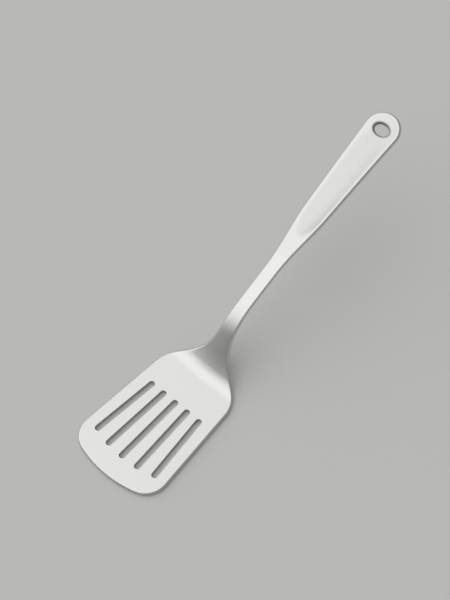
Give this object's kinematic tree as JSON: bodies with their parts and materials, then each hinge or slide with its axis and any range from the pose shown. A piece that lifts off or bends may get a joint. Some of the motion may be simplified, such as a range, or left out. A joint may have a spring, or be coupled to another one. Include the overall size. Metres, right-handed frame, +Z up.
{
  "type": "turner",
  "caption": "Slotted stainless steel kitchen turner with a flat fanned blade, a steep cranked neck and a hollow crowned handle with an oval hanging hole.",
  "frame": {"origin": "under the middle of the whole turner, on the plane that the blade's underside rests on", "axes": "+X from the blade's front edge towards the handle's end, +Y across the blade, +Z up from the face that the blade rests on"},
  "size_m": [0.3248, 0.0816, 0.1173],
  "materials": {
    "satin_sheet": "satin stainless steel sheet, finely brushed along the tool",
    "satin_shell": "satin stainless steel pressing, finely brushed along the handle",
    "ground_weld": "weld ground flush and brushed over",
    "polished_lip": "pressed and lightly polished stainless steel"
  },
  "bodies": {
    "root": {"blade": "satin_sheet", "neck_weld": "ground_weld", "handle_upper_shell": "satin_shell", "handle_lower_shell": "satin_shell", "seam_weld": "ground_weld", "hanging_eyelet": "polished_lip"}
  },
  "joints": []
}
